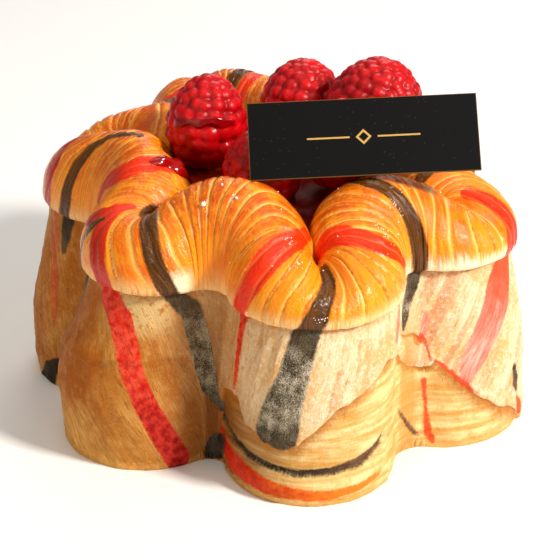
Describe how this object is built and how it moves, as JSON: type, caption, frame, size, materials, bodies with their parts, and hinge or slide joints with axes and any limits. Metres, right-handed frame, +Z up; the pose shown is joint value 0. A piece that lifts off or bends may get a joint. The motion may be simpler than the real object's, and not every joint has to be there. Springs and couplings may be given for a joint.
{
  "type": "fruit pastry ring",
  "caption": "Lobed ring of layered pastry standing on edge, with red and dark stripes, round a well of jam that holds raspberries and a small plain card.",
  "frame": {"origin": "on the flat underside, at the middle of the well of jam", "axes": "+Z up; -Y towards the front lobe, +X to the right seen from the front"},
  "size_m": [0.1147, 0.1168, 0.076],
  "materials": {
    "pastry": "Baked laminated dough: golden brown and glossy on the cap, pale and dry on the sides, with red and dark stripes.",
    "jam": "Very dark red, smooth and wet.",
    "raspberry": "Crimson, each drupelet round with a soft shine.",
    "card": "Black, smooth and nearly matt, with a thin pale gold border."
  },
  "bodies": {
    "root": {"pastry_ring": "pastry", "jam": "jam", "raspberry_left": "raspberry", "raspberry_back": "raspberry", "raspberry_right": "raspberry", "raspberry_front": "raspberry", "raspberry_hidden": "raspberry", "card": "card"}
  },
  "joints": []
}
